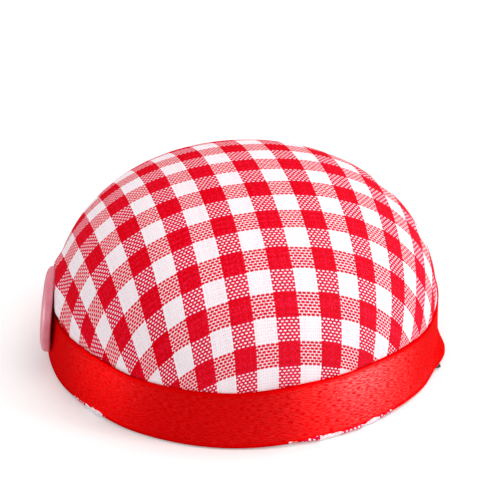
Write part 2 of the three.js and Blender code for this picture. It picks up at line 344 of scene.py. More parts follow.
def gingham_finish(cloth):
    """Plain-woven cotton in red and white stripes both ways, drawn thread by thread."""
    finish = Finish(
        "gingham_cotton",
        {
            "Roughness": 0.95,
            "Specular IOR Level": 0.01,
            "Specular Tint": (1.0, 0.35, 0.9),
            "Sheen Weight": 0.015,
            "Sheen Roughness": 0.4,
            "Sheen Tint": (1.0, 0.5, 0.9),
        },
    )
    white_shade, red_shade = seen(232, 196, 208), seen(168, 0, 6)
    white_light, red_light = seen(255, 250, 252), seen(253, 52, 104)
    warp_veil, weft_veil = seen(238, 34, 100), seen(250, 62, 104)
    place, across, along = finish.flat_map()
    wander = 0.06 * (finish.noise(place, 0.8) - 0.5)
    across = across + wander
    along = along - wander
    warp = across * cloth.warp_threads
    weft = along * cloth.weft_threads
    row = weft.floor()
    warp_red = across.even()
    weft_red = along.even()
    # A crosswise thread shows as a short dash over every second lengthwise thread
    white_length, white_width = 0.6, 0.25
    red_length, red_width = 0.9, 0.45
    roundness, raggedness, softness = 2.2, 1.5, 0.4
    along_dash = ((warp + row) * 0.5 + 0.25).fract() * 2 - 1
    across_dash = weft.fract() - 0.5
    along_dash = along_dash * (1 / white_length + (1 / red_length - 1 / white_length) * weft_red)
    across_dash = across_dash * (1 / white_width + (1 / red_width - 1 / white_width) * weft_red)
    ragged = raggedness * (finish.noise(finish.stretched(place, (12, 10, 1)), 1) - 0.5)
    inside = 1 - along_dash.absolute().power(roundness) - across_dash.absolute().power(roundness) + ragged
    dash = inside.smooth(-softness, softness)
    redness = warp_red + (weft_red - warp_red) * dash
    # Each thread has its own tone, which changes slowly along it
    thread_part, slub_part = 0.6, 2.3
    warp_tone = finish.chance(warp.floor()) - 0.5
    weft_tone = 0.5 * (finish.chance(row + 0.5) - 0.5)
    slub = finish.noise(finish.stretched(place, (18, 9, 1)), 1, 3) - 0.5
    tone = thread_part * (warp_tone + (weft_tone - warp_tone) * dash) + slub_part * slub
    dark, light = (tone * -1).most(0), tone.most(0)
    # The threads leave thin gaps, and where the white ones cross, pinholes; both get painted shade
    warp_gap = (2 * (warp.fract() - 0.5)).absolute().smooth(0.5, 1)
    weft_gap = (2 * (weft.fract() - 0.5)).absolute().smooth(0.4, 1)
    gap = warp_gap * (1 - dash)
    pinhole = warp_gap * weft_gap * (1 - redness)
    base = finish.mix(cloth.white, cloth.red, redness)
    # White threads glow through the red ones that cross them
    warp_glow, weft_glow = 0.4, 0.12
    base = finish.mix(base, warp_veil, warp_glow * warp_red * (1 - weft_red) * (1 - dash))
    base = finish.mix(base, weft_veil, weft_glow * weft_red * (1 - warp_red) * dash)
    # Painted shade in the gaps and pinholes, and the darker side of each thread's random tone
    gap_painted_shade, pinhole_painted_shade, dark_part, most_shade = 0.2, 0.9, 0.7, 0.85
    shade = finish.mix(white_shade, red_shade, redness)
    shadow = gap_painted_shade * gap + pinhole_painted_shade * pinhole + dark_part * dark
    shaded = finish.mix(base, shade, shadow.least(most_shade))
    light_part, most_light = 0.75, 0.8
    lit = finish.mix(white_light, red_light, redness)
    finish.colour(finish.mix(shaded, lit, (light_part * light).least(most_light)))
    finish.bump(dash * 0.6 + 0.4 - 0.4 * gap, 0.05 * MM, 0.7)
    return finish


def satin_finish(ribbon):
    """Red satin: short floats along the ribbon, and a woven edge on both sides, in millimetres."""
    finish = Finish(
        "satin_ribbon",
        {
            "Roughness": 0.42,
            "Metallic": 0.04,
            "Specular IOR Level": 0,
            "Specular Tint": (1.0, 0.02, 0.02),
            "Anisotropic": 0.6,
            "Anisotropic Rotation": 0.25,
            "Coat Roughness": 0.38,
            "Coat IOR": 2.6,
        },
    )
    edge_width, rib_pitch, slant = 1.05, 0.42, radians(8)
    dull_gloss, float_gloss = 0.0003, 0.0145
    place, along, across = finish.flat_map()
    half_width = ribbon.width / MM / 2
    from_edge = half_width - (across - half_width).absolute()
    slanted = finish.node("ShaderNodeMapping", None, {"Vector": place, "Rotation": (0, 0, slant)})
    floats = finish.noise(finish.stretched(slanted.outputs[0], (1.1, 6.5, 1)), 1).smooth(0.4, 0.6)
    drift = finish.noise(place, 0.25)
    seam = (from_edge - edge_width).absolute().smooth(0, 0.2)
    edge = from_edge.smooth(1, 0.9)
    rib = 0.5 + 0.5 * (along * (2 * pi / rib_pitch)).sine()
    # Darker red along the seam line is painted shade in its groove; the drift is random tone
    seam_shade_and_drift = finish.mix(ribbon.red, seen(190, 0, 0), 0.4 * (1 - seam) + 0.25 * drift)
    finish.colour(finish.mix(seam_shade_and_drift, seen(236, 4, 4), 0.25 * floats))
    gloss = dull_gloss + float_gloss * floats * from_edge.smooth(0.25, 1)
    finish.feed(finish.shader.inputs["Coat Weight"], gloss)
    finish.bump(0.4 * floats + 0.8 * seam + 0.3 * rib * edge, 0.07 * MM, 0.6)
    return finish


def elastic_finish(strap):
    """Black flat-woven elastic: ribs along its length, crossed by fine covering threads."""
    finish = Finish(
        "elastic_webbing", {"Roughness": 0.78, "Specular IOR Level": 0.02, "Sheen Weight": 0.015}
    )
    rib_pitch, pick_pitch, rib_stagger = 1.15, 0.55, 1.57
    place, along, across = finish.flat_map()
    rib = (across * (pi / rib_pitch)).sine().absolute()
    stagger = rib_stagger * (across * (1 / rib_pitch)).floor()
    pick = (along * (pi / pick_pitch) + stagger).sine().absolute()
    fuzz = finish.noise(finish.stretched(place, (3, 6, 1)), 1, 3)
    finish.colour(finish.mix(strap.black, seen(48, 47, 51), 0.5 * rib * pick + 0.3 * fuzz))
    finish.bump(0.7 * rib + 0.3 * pick + 0.2 * fuzz, 0.22 * MM, 0.8)
    return finish


def button_finish(button):
    """Pale pink plastic that lets a little light through, clouded inside and polished outside."""
    finish = Finish(
        "button_plastic",
        {
            "Roughness": 0.5,
            "Specular IOR Level": 0.12,
            "Coat Weight": 0.02,
            "Coat Roughness": 0.2,
            "Subsurface Weight": 0.35,
            "Subsurface Radius": (1.2 * MM, 0.7 * MM, 0.8 * MM),
            "Subsurface Scale": 1,
        },
    )
    place = finish.object_place()
    clouds = finish.noise(place, 240, 3).smooth(0.35, 0.75)
    finish.colour(finish.mix(button.pink, seen(214, 124, 142), clouds))
    finish.bump(finish.noise(place, 1400), 0.01 * MM, 0.3)
    return finish


def thread_finish(name, tint):
    """Twisted cotton thread."""
    finish = Finish(name, {"Roughness": 0.8, "Sheen Weight": 0.2})
    twist = finish.noise(finish.stretched(finish.object_place(), (1, 1, 2.5)), 3500)
    finish.colour(finish.mix(tint, seen(196, 180, 184), 0.6 * twist.smooth(0.4, 0.7)))
    finish.bump(twist, 0.05 * MM, 0.6)
    return finish


def fibre_finish():
    """Loose polyester fibre."""
    finish = Finish("fibre_filling", {"Roughness": 0.95, "Sheen Weight": 0.3})
    strands = finish.noise(finish.stretched(finish.object_place(), (1, 2.6, 1.4)), 900, 6)
    finish.colour(finish.mix(seen(226, 222, 212), seen(250, 248, 242), strands.smooth(0.3, 0.7)))
    finish.bump(strands, 0.6 * MM, 0.7)
    return finish


def board_finish():
    """Uncoated grey board with flecks of pulp."""
    finish = Finish("grey_board", {"Roughness": 0.92})
    place = finish.object_place()
    pulp = finish.noise(place, 1100, 5)
    fleck = finish.noise(place, 2600).smooth(0.62, 0.7)
    grey = finish.mix(seen(146, 138, 128), seen(172, 164, 152), pulp)
    finish.colour(finish.mix(grey, seen(96, 90, 84), 0.5 * fleck))
    finish.bump(pulp, 0.08 * MM, 0.5)
    return finish


def glue_finish():
    """Set hot-melt glue: cloudy, smooth and a little yellow."""
    finish = Finish("hot_glue", {"Roughness": 0.3, "Subsurface Weight": 0.4, "Subsurface Scale": 1.5 * MM})
    flow = finish.noise(finish.object_place(), 160, 3)
    finish.colour(finish.mix(seen(232, 224, 200), seen(244, 240, 226), flow))
    finish.bump(flow, 0.5 * MM, 0.4)
    return finish


# Making pieces


def add_mesh(bm, name):
    """A new object at the origin, with a bmesh's shape."""
    mesh = bpy.data.meshes.new(name)
    bm.to_mesh(mesh)
    made = bpy.data.objects.new(name, mesh)
    bpy.context.scene.collection.objects.link(made)
    return made


def remove_mesh(made):
    """Take an object and its mesh away again."""
    mesh = made.data
    bpy.data.objects.remove(made)
    bpy.data.meshes.remove(mesh)


def add_piece(bm, name, finish, body):
    """A finished piece with its place in its mesh, riding on a body."""
    piece = add_mesh(bm, name)
    bm.free()
    piece.data.materials.append(finish.material)
    piece.data.shade_smooth()
    if body:
        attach(piece, body)
    return piece


def lay_flat(bm, flat_place):
    """Write each vertex's place on the flat cloth to the weave map."""
    places = {vert: flat_place(vert) for vert in bm.verts}
    layer = bm.loops.layers.uv.new(WEAVE_MAP)
    for face in bm.faces:
        for loop in face.loops:
            loop[layer].uv = places[loop.vert]


def flat_strip(start, length, width, length_steps, width_steps):
    """A flat strip of ribbon or webbing along X, with its weave map in millimetres."""
    middle = Matrix.Translation((start + length / 2, 0, 0))
    flat = middle @ Matrix.Diagonal((length / 2, width / 2, 1, 1))
    bm = bmesh.new()
    bmesh.ops.create_grid(bm, x_segments=length_steps, y_segments=width_steps, size=1, matrix=flat)
    lay_flat(bm, lambda vert: (vert.co.x / MM, (vert.co.y + width / 2) / MM))
    return bm


def add_wall(piece, name, thickness, offset):
    """Give a sheet its thickness."""
    wall = piece.modifiers.new(name, "SOLIDIFY")
    wall.thickness = thickness
    wall.offset = offset


def quarter_round(reach, level, width, height, start, steps):
    """A quarter of an ellipse in a side view, from a start angle in degrees."""
    for step in range(steps + 1):
        angle = radians(start + 90 * step / steps)
        yield Vector((reach + width * cos(angle), 0, level + height * sin(angle)))


def spin_outline(outline, steps):
    """A side view turned once round the upright axis, and each vertex's length along it."""
    bm = bmesh.new()
    walk = bm.verts.layers.float.new("walk")
    last = None
    for spot in outline:
        vert = bm.verts.new(spot)
        if last:
            vert[walk] = last[walk] + (vert.co - last.co).length
            bm.edges.new((last, vert))
        last = vert
    bmesh.ops.spin(
        bm, geom=bm.verts[:] + bm.edges[:], axis=(0, 0, 1), cent=(0, 0, 0),
        angle=2 * pi, steps=steps, use_merge=True,
    )
    bmesh.ops.remove_doubles(bm, verts=bm.verts, dist=WELD)
    bmesh.ops.recalc_face_normals(bm, faces=bm.faces)
    return bm, walk


def close_holes(bm):
    """Fill each open edge loop with a face, and turn all the faces outwards."""
    bmesh.ops.holes_fill(bm, edges=[edge for edge in bm.edges if edge.is_boundary])
    bmesh.ops.recalc_face_normals(bm, faces=bm.faces)


def polar(radius, azimuth, level):
    """The point at a distance from the upright axis, a heading and a height."""
    return Vector((radius * cos(azimuth), radius * sin(azimuth), level))


def smooth_step(low, high, value):
    """Nothing below low, one above high, and a smooth rise between."""
    part = min(max((value - low) / (high - low), 0), 1)
    return part * part * (3 - 2 * part)


def span(middle, half_width, blend):
    """A sector round the upright axis, written in degrees."""
    return radians(middle), radians(half_width), radians(blend)


def sector(azimuth, middle, half_width, blend):
    """One inside a sector round the upright axis, falling to nothing past its sides."""
    away = abs((azimuth - middle + pi) % (2 * pi) - pi)
    return 1 - smooth_step(half_width - blend / 2, half_width + blend / 2, away)


class Rise:
    """A stretch where the ribbon rides up a little, so that the base's cloth shows below it."""

    def __init__(self, middle, half_width, blend, low_edge, high_edge):
        self.span = span(middle, half_width, blend)
        self.low_edge = low_edge
        self.high_edge = high_edge

    def at(self, azimuth):
        return sector(azimuth, *self.span)


CLOTH_RISES = (Rise(-62, 22, 26, 0.4 * MM, 0.95 * MM), Rise(-140, 11, 16, 0.3 * MM, 0.55 * MM))
STRAP_RISE = Rise(-20, 6, 9, 0.65 * MM, 0)
RISES = (*CLOTH_RISES, STRAP_RISE)
TUCK_SPAN = span(21, 18, 10)
TUCK = 0.9 * MM


class Dome:
    """The dome's shape, and the way from a point on it to the flat cloth."""

    ARC_STEPS = 400
    UNDERSIDE_FULLNESS = 6
    EASE_REACH = 46 * MM
    EASE_GROWTH = 2.381
    EASE_FOCUS = 4
    SKEW = 0.0318
    WARP_BOW = (0.0115, 0.0332)
    WEFT_BOW = (0.0198, -0.0202)
    WARP_START = 0.5675
    WEFT_START = 0.4781
    PUCKERS = 34
    PUCKER_DROP = 2 * MM
    PUCKER_RISE = 7 * MM
    PUCKER_SCALE = 2.4
    PUCKER_WANDER = 2.2
    STRENGTH_SCALE = 1.7
    STRENGTH_SHIFT = Vector((5, 2, 0))

    def __init__(self, cloth):
        self.cloth = cloth
        self.rise = COVER_HIGH.z - cloth.dome_waist
        self.drop = cloth.dome_waist - COVER_LOW.z
        self.lean = Matrix.Rotation(cloth.lean_side, 3, "Y") @ Matrix.Rotation(cloth.lean_back, 3, "X")
        self.arcs = self.arc_lengths()

    def side(self, angle, fullness):
        """Reach from the axis and height, as shares of the radius and the rise."""
        power = 2 / fullness
        return max(cos(angle), 0) ** power, max(sin(angle), 0) ** power

    def arc_lengths(self):
        """Lengths along the cloth from the crown, at equal steps of the side view's own angle."""
        lengths = [0.0]
        last = Vector((0, self.rise))
        for step in range(1, self.ARC_STEPS + 1):
            angle = pi / 2 * (1 - step / self.ARC_STEPS)
            reach, height = self.side(angle, self.cloth.dome_fullness)
            spot = Vector((reach * self.cloth.dome_radius, height * self.rise))
            lengths.append(lengths[-1] + (spot - last).length)
            last = spot
        return lengths

    def point(self, direction):
        """The dome's point in the direction of a unit sphere's point."""
        azimuth = atan2(direction.y, direction.x)
        angle = asin(min(max(direction.z, -1), 1))
        if angle >= 0:
            reach, height = self.side(angle, self.cloth.dome_fullness)
            level = self.cloth.dome_waist + height * self.rise
        else:
            reach, height = self.side(-angle, self.UNDERSIDE_FULLNESS)
            level = self.cloth.dome_waist - height * self.drop
        radius = reach * self.cloth.dome_radius - self.pucker(azimuth, level)
        return polar(radius, azimuth, level)

    def pucker(self, azimuth, level):
        """Depth of the small gathers where the ribbon holds the cloth."""
        low, high = RIBBON_HIGH.z - self.PUCKER_DROP, RIBBON_HIGH.z + self.PUCKER_RISE
        near_ribbon = 1 - smooth_step(low, high, level)
        if near_ribbon == 0 or level < self.cloth.dome_waist:
            return 0
        round_trip = polar(1, azimuth, 0) * self.PUCKER_SCALE
        wander = noise.noise(round_trip) * self.PUCKER_WANDER
        wave = 0.5 + 0.5 * cos(self.PUCKERS * azimuth + wander * pi)
        strength = 0.5 + 0.5 * noise.noise(round_trip * self.STRENGTH_SCALE + self.STRENGTH_SHIFT)
        return self.cloth.pucker_depth * near_ribbon * wave * strength

    def flat_place(self, point):
        """A dome point's place on the flat cloth, in checks."""
        cloth = self.cloth
        spot = self.lean @ (point - Vector((0, 0, cloth.dome_waist)))
        angle = atan2(spot.z / self.rise, hypot(spot.x, spot.y) / cloth.dome_radius)
        power = cloth.dome_fullness / 2
        own_angle = atan2(max(sin(angle), 0) ** power, cos(angle) ** power)
        step = self.ARC_STEPS * (1 - own_angle / (pi / 2))
        whole = min(int(step), self.ARC_STEPS - 1)
        length = self.arcs[whole] + (step - whole) * (self.arcs[whole + 1] - self.arcs[whole])
        if spot.z < 0:
            length += -spot.z + max(cloth.dome_radius - hypot(spot.x, spot.y), 0)
        heading = atan2(spot.y, spot.x) - cloth.grain_turn
        across = length * cos(heading)
        along = length * sin(heading)
        growth = (length / self.EASE_REACH) ** self.EASE_GROWTH
        across *= 1 - cloth.warp_ease * growth * sin(heading) ** self.EASE_FOCUS
        along *= 1 - cloth.weft_ease * growth * cos(heading) ** self.EASE_FOCUS
        across, along = across + self.SKEW * along, along + self.SKEW * across
        squares = Vector((across * across, along * along)) / self.EASE_REACH
        across += squares.dot(self.WARP_BOW)
        along += squares.dot(self.WEFT_BOW)
        return across / cloth.warp_check + self.WARP_START, along / cloth.weft_check + self.WEFT_START


def button_place():
    """The frame of the button: its middle on the ribbon, and its axis pointing out."""
    axis = Vector(TWIST["axis"])
    turned = axis.to_track_quat("Z", "Y").to_matrix().to_4x4()
    return Matrix.Translation(Vector(TWIST["pos_m"])) @ turned


def hole_spots(button):
    """The middles of the four holes, in order round the button."""
    half = button.hole_pitch / 2
    return [Vector((half * x, half * y, 0)) for x, y in ((1, 1), (-1, 1), (-1, -1), (1, -1))]


class ButtonSeat:
    """The dent that the sewn button presses into what lies behind it, and the swell round it."""

    CLEAR = 0.05 * MM
    SWELL_WIDTH = 3.5 * MM
    RIM_BLEND = (0.94, 1.08)

    def __init__(self, button):
        self.place = button_place()
        self.back = self.place.inverted()
        self.radius = button.diameter / 2
        self.floor = button.standoff - self.CLEAR

    def pressed(self, spot, swell, depth):
        """A point of the cloth or ribbon, moved to make room for the button and what covers the point."""
        local = self.back @ spot
        away = local.xy.length
        if local.z < -self.radius or away > self.radius + self.SWELL_WIDTH:
            return spot
        local.z += swell * (1 - smooth_step(0, self.SWELL_WIDTH, abs(away - self.radius)))
        under = 1 - smooth_step(*self.RIM_BLEND, away / self.radius)
        local.z += under * min(self.floor - depth - local.z, 0)
        return self.place @ local


class PINCUSHION_OT_gingham_dome(bpy.types.Operator):
    """Make the gingham cover of the stuffed dome"""

    bl_idname = "pincushion.gingham_dome"
    bl_label = "Gingham Dome"

    SIDE_CUTS = 41
    SIMULATED_SCALE = 20
    POINT_MASS = 0.02
    PRESSURE = 4
    FRAMES = 20
    MOST_GIVE = 0.4 * MM
    SWELL = 0.8 * MM
    UNDER_RIBBON = 0.5 * MM
    RIBBON_FADE = 1.5 * MM

    def simulate(self, scene, piece):
        """Points of the cover after the stuffing has pushed it out above the ribbon."""
        held = piece.vertex_groups.new(name="held")
        level = RIBBON_HIGH.z * self.SIMULATED_SCALE
        held.add([vert.index for vert in piece.data.vertices if vert.co.z < level], 1, "REPLACE")
        fullness = piece.modifiers.new("fullness", "CLOTH")
        settings = fullness.settings
        settings.vertex_group_mass = held.name
        settings.mass = self.POINT_MASS
        settings.use_pressure = True
        settings.uniform_pressure_force = self.PRESSURE
        settings.effector_weights.gravity = 0
        for number in range(1, self.FRAMES + 1):
            scene.frame_set(number)
        filled = piece.evaluated_get(bpy.context.evaluated_depsgraph_get()).data
        points = [vert.co / self.SIMULATED_SCALE for vert in filled.vertices]
        piece.modifiers.remove(fullness)
        scene.frame_set(1)
        return points

    def fill_out(self, context, bm):
        """Fill the cover out, at a size that suits the solver, and subdivide it once."""
        piece = add_mesh(bm, "fill_out")
        piece.data.transform(Matrix.Scale(self.SIMULATED_SCALE, 4))
        for vert, point in zip(bm.verts, self.simulate(context.scene, piece)):
            move = point - vert.co
            vert.co += move * min(1, self.MOST_GIVE / max(move.length, self.MOST_GIVE))
        bm.to_mesh(piece.data)
        finer = piece.modifiers.new("finer", "SUBSURF")
        finer.levels = 1
        finer.render_levels = 1
        bm.clear()
        bm.from_mesh(piece.evaluated_get(context.evaluated_depsgraph_get()).data)
        remove_mesh(piece)

    def execute(self, context):
        cloth = context.scene.pincushion_cloth
        dome = Dome(cloth)
        bm = bmesh.new()
        bmesh.ops.create_cube(bm, size=2)
        bmesh.ops.subdivide_edges(bm, edges=bm.edges, cuts=self.SIDE_CUTS, use_grid_fill=True)
        for vert in bm.verts:
            vert.co = dome.point(vert.co.normalized())
        self.fill_out(context, bm)
        lay_flat(bm, lambda vert: dome.flat_place(vert.co))
        seat = ButtonSeat(context.scene.pincushion_button)
        for vert in bm.verts:
            covered = 1 - smooth_step(RIBBON_HIGH.z, RIBBON_HIGH.z + self.RIBBON_FADE, vert.co.z)
            vert.co = seat.pressed(vert.co, self.SWELL * (1 - covered), self.UNDER_RIBBON * covered)
        piece = add_piece(bm, "gingham_dome", gingham_finish(cloth), "cushion")
        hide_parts("top_cover")
        return {"FINISHED"}


class PINCUSHION_OT_stuffing(bpy.types.Operator):
    """Make the fibre filling inside the dome"""

    bl_idname = "pincushion.stuffing"
    bl_label = "Fibre Stuffing"

    FINENESS = 6
    LUMP = 0.5 * MM
    LUMP_SCALE = 6
    CLEARANCE = 0.965

    def execute(self, context):
        dome = Dome(context.scene.pincushion_cloth)
        middle = Vector((0, 0, (COVER_LOW.z + COVER_HIGH.z) / 2))
        bm = bmesh.new()
        bmesh.ops.create_icosphere(bm, subdivisions=self.FINENESS, radius=1)
        for vert in bm.verts:
            lump = noise.noise(vert.co * self.LUMP_SCALE) * self.LUMP
            spot = middle + (dome.point(vert.co) - middle) * self.CLEARANCE
            vert.co = spot + (spot - middle).normalized() * (lump - self.LUMP)
        piece = add_piece(bm, "fibre_stuffing", fibre_finish(), "cushion")
        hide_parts("stuffing")
        return {"FINISHED"}


class PINCUSHION_OT_base_wrap(bpy.types.Operator):
    """Make the gingham that is wrapped round the base board"""

    bl_idname = "pincushion.base_wrap"
    bl_label = "Base Wrap"

    CLOTH = 0.4 * MM
    LOWER_RIM = 0.5 * MM
    UPPER_RIM = 1.2 * MM
    RIM_PROUD = 0.35 * MM
    HEM_RADIUS = 22 * MM
    FLAT_REACH = 31.4 * MM
    LIP = 1.2 * MM
    LIP_DROP = 1.15 * MM
    LIP_PROUD = 0.8 * MM
    TUCK_SHARE = 0.7
    FRAY = 0.22 * MM
    FRAY_SCALE = 1100
    SPIN_STEPS = 384
    RIM_STEPS = 6
    UNDERSIDE_RINGS = (0, 0.3, 0.6, 0.85)
    TOP_RING = 0.8
    RIM_START = 0.85
    CHECK_TURN = radians(28)
    CHECK_START = (0.3, -0.4)

    def outline(self, radius):
        """Side view from the middle of the underside, round the rim and in over the top."""
        low, high = BASE_LOW.z, BASE_HIGH.z
        for part in self.UNDERSIDE_RINGS:
            yield Vector((radius * part, 0, low))
        rim = self.LOWER_RIM
        yield from quarter_round(radius - rim, low + rim, rim, rim, -90, self.RIM_STEPS)
        rim = self.UPPER_RIM
        yield from quarter_round(radius - rim, high - rim, rim, rim, 0, self.RIM_STEPS)
        yield Vector((radius * self.TOP_RING, 0, high))
        yield Vector((self.HEM_RADIUS, 0, high))

    def execute(self, context):
        cloth = context.scene.pincushion_cloth
        strap = context.scene.pincushion_strap
        radius = BASE_HIGH.y + self.RIM_PROUD
        bm, walk = spin_outline(self.outline(radius), self.SPIN_STEPS)

        def flat_place(vert):
            heading = atan2(vert.co.y, vert.co.x) - self.CHECK_TURN
            across = vert[walk] * cos(heading) / cloth.warp_check + self.CHECK_START[0]
            return across, vert[walk] * sin(heading) / cloth.weft_check + self.CHECK_START[1]

        lay_flat(bm, flat_place)
        lip_low = BASE_LOW.z + self.LOWER_RIM
        along_strap = polar(1, strap.turn, 0)
        for vert in bm.verts:
            azimuth = atan2(vert.co.y, vert.co.x)
            reach = vert.co.dot(along_strap)
            vert.co -= along_strap * (reach - max(min(reach, self.FLAT_REACH), -self.FLAT_REACH))
            low = 1 - smooth_step(lip_low, lip_low + self.LIP, vert.co.z)
            near_rim = smooth_step(radius * self.RIM_START, radius, vert.co.xy.length)
            lip = low * near_rim * max(rise.at(azimuth) for rise in CLOTH_RISES)
            fray = self.FRAY * noise.noise(vert.co * self.FRAY_SCALE)
            tuck = self.TUCK_SHARE * TUCK * near_rim * sector(azimuth - strap.turn, *TUCK_SPAN)
            outward = (self.LIP_PROUD + fray) * lip - tuck
            vert.co += polar(outward, azimuth, -(self.LIP_DROP + fray) * lip)
        piece = add_piece(bm, "base_wrap", gingham_finish(cloth), "cushion")
        add_wall(piece, "cloth", self.CLOTH, -1)
        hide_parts("base_cover")
        return {"FINISHED"}


class PINCUSHION_OT_satin_ribbon(bpy.types.Operator):
    """Make the satin ribbon that is glued round the join"""

    bl_idname = "pincushion.satin_ribbon"
    bl_label = "Satin Ribbon"

    LAP_AZIMUTH = radians(90)
    LAP_STEP = 0.42 * MM
    RAMP = 15 * MM
    LENGTH_STEPS = 400
    WIDTH_STEPS = 24
    UPPER_DROP = 0.3 * MM
    SHOULDER_SPAN = span(-2, 20, 18)
    SHOULDER_DROP = 0.7 * MM
    SHOULDER_BEND = (0.02, 0.24)
    CORNER_SPAN = span(-7, 6, 10)
    CORNER_FLARE = 0.45 * MM
    SLACK_SPAN = span(-158, 12, 24)
    SLACK = 0.15 * MM
    BELLY = 0.14 * MM
    WAVE = 0.1 * MM
    WAVE_SCALE = 3.5
    WAVE_LEAN = 0.3
    SWELL = 0.15 * MM

    def spot(self, ribbon, strap, azimuth, height):
        """The ribbon's point at a heading, at a share of its width above the lower edge."""
        shoulder = sector(azimuth - strap.turn, *self.SHOULDER_SPAN)
        corner = sector(azimuth - strap.turn, *self.CORNER_SPAN)
        tuck = sector(azimuth - strap.turn, *TUCK_SPAN)
        low_radius = ribbon.low_radius + self.CORNER_FLARE * corner - TUCK * tuck
        inward = height + (smooth_step(*self.SHOULDER_BEND, height) - height) * shoulder
        radius = low_radius + (ribbon.high_radius - low_radius) * inward
        radius += self.BELLY * sin(pi * height) * (1 - shoulder)
        radius += self.SLACK * (1 - height) * sector(azimuth, *self.SLACK_SPAN)
        radius += self.WAVE * noise.noise(polar(1, azimuth, height * self.WAVE_LEAN) * self.WAVE_SCALE)
        low = RIBBON_LOW.z + sum(rise.low_edge * rise.at(azimuth) for rise in RISES)
        high = RIBBON_HIGH.z - self.UPPER_DROP + sum(rise.high_edge * rise.at(azimuth) for rise in RISES)
        return radius, low + (high - self.SHOULDER_DROP * shoulder - low) * height

    def execute(self, context):
        ribbon = context.scene.pincushion_ribbon
        strap = context.scene.pincushion_strap
        whole_turn = 2 * pi + ribbon.lap / ribbon.high_radius
        start = self.LAP_AZIMUTH - ribbon.lap / ribbon.high_radius / 2
        length = whole_turn * (ribbon.low_radius + ribbon.high_radius) / 2
        bm = flat_strip(0, length, ribbon.width, self.LENGTH_STEPS, self.WIDTH_STEPS)
        lap_start = 1 - ribbon.lap / length
        seat = ButtonSeat(context.scene.pincushion_button)
        for vert in bm.verts:
            gone = vert.co.x / length
            azimuth = start + gone * whole_turn
            radius, level = self.spot(ribbon, strap, azimuth, vert.co.y / ribbon.width + 0.5)
            radius += self.LAP_STEP * smooth_step(lap_start - self.RAMP / length, lap_start, gone)
            vert.co = seat.pressed(polar(radius, azimuth, level), self.SWELL, 0)
        piece = add_piece(bm, "satin_ribbon", satin_finish(ribbon), "cushion")
        add_wall(piece, "satin", ribbon.thickness, -1)
        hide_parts("ribbon_band")
        return {"FINISHED"}


class PINCUSHION_OT_pink_button(bpy.types.Operator):
    """Make the four-hole button"""

    bl_idname = "pincushion.pink_button"
    bl_label = "Pink Button"

    BACK_EDGE = 0.4 * MM
    SHOULDER = 2.3 * MM
    CROWN = 1.0 * MM
    WELL_RADIUS = 4.2 * MM
    WELL_SLOPE = 0.7 * MM
    HOLE_RADIUS = 0.75 * MM
    HOLE_EDGE = 0.12 * MM
    ARC_STEPS = 12
    SPIN_STEPS = 128
    HOLE_SEGMENTS = 32
    HOLE_EDGE_SEGMENTS = 3
    CUTTER_REACH = 4
    QUAD_CORNERS = 4
    LEVEL_WITHIN = 0.01 * MM
    RIM_WITHIN = 0.02 * MM

    def outline(self, button):
        """Half of the side view, from the edge of the flat back to the edge of the well's floor."""
        radius = button.diameter / 2
        back = button.standoff
        front = back + button.thickness
        edge, shoulder, crown = self.BACK_EDGE, self.SHOULDER, self.CROWN
        yield from quarter_round(radius - edge, back + edge, edge, edge, -90, self.ARC_STEPS)
        yield from quarter_round(radius - shoulder, front - crown, shoulder, crown, 0, self.ARC_STEPS)
        for step in range(self.ARC_STEPS + 1):
            part = step / self.ARC_STEPS
            depth = button.well_depth * smooth_step(0, 1, part)
            yield Vector((self.WELL_RADIUS + self.WELL_SLOPE * (0.5 - part), 0, front - depth))

    def cut_holes(self, context, piece, button):
        """Cut the four holes through the button and keep the result as its mesh."""
        bm = bmesh.new()
        for spot in hole_spots(button):
            bmesh.ops.create_cone(
                bm, cap_ends=True, segments=self.HOLE_SEGMENTS, radius1=self.HOLE_RADIUS,
                radius2=self.HOLE_RADIUS, depth=self.CUTTER_REACH * button.thickness,
                matrix=button_place() @ Matrix.Translation(spot),
            )
        cutter = add_mesh(bm, "hole_cutter")
        bm.free()
        holes = piece.modifiers.new("holes", "BOOLEAN")
        holes.operation = "DIFFERENCE"
        holes.solver = "EXACT"
        holes.object = cutter
        view = context.evaluated_depsgraph_get()
        drilled = bpy.data.meshes.new_from_object(piece.evaluated_get(view))
        piece.modifiers.remove(holes)
        plain = piece.data
        piece.data = drilled
        bpy.data.meshes.remove(plain)
        remove_mesh(cutter)

    def round_hole_edges(self, piece, button):
        """Soften the rims of the holes, and shade the back and the well's floor flat."""
        back = button_place().inverted()
        spots = hole_spots(button)
        bm = bmesh.new()
        bm.from_mesh(piece.data)

        def level(part):
            heights = [(back @ vert.co).z for vert in part.verts]
            return max(heights) - min(heights) < self.LEVEL_WITHIN

        def on_rim(vert, spot):
            return abs((back @ vert.co - spot).xy.length - self.HOLE_RADIUS) < self.RIM_WITHIN

        rims = [
            edge for edge in bm.edges
            if level(edge) and any(all(on_rim(vert, spot) for vert in edge.verts) for spot in spots)
        ]
        if not rims:
            raise RuntimeError("the button's holes were not cut")
        bmesh.ops.bevel(
            bm, geom=rims, offset=self.HOLE_EDGE, offset_type="OFFSET", affect="EDGES",
            segments=self.HOLE_EDGE_SEGMENTS, profile=0.5, material=-1,
        )
        for face in bm.faces:
            face.smooth = len(face.verts) <= self.QUAD_CORNERS or not level(face)
        bm.to_mesh(piece.data)
        bm.free()

    def execute(self, context):
        button = context.scene.pincushion_button
        bm, walk = spin_outline(self.outline(button), self.SPIN_STEPS)
        bm.verts.layers.float.remove(walk)
        close_holes(bm)
        bmesh.ops.transform(bm, matrix=button_place(), verts=bm.verts)
        piece = add_piece(bm, "pink_button", button_finish(button), "button")
        self.cut_holes(context, piece, button)
        self.round_hole_edges(piece, button)
        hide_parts("button")
        return {"FINISHED"}


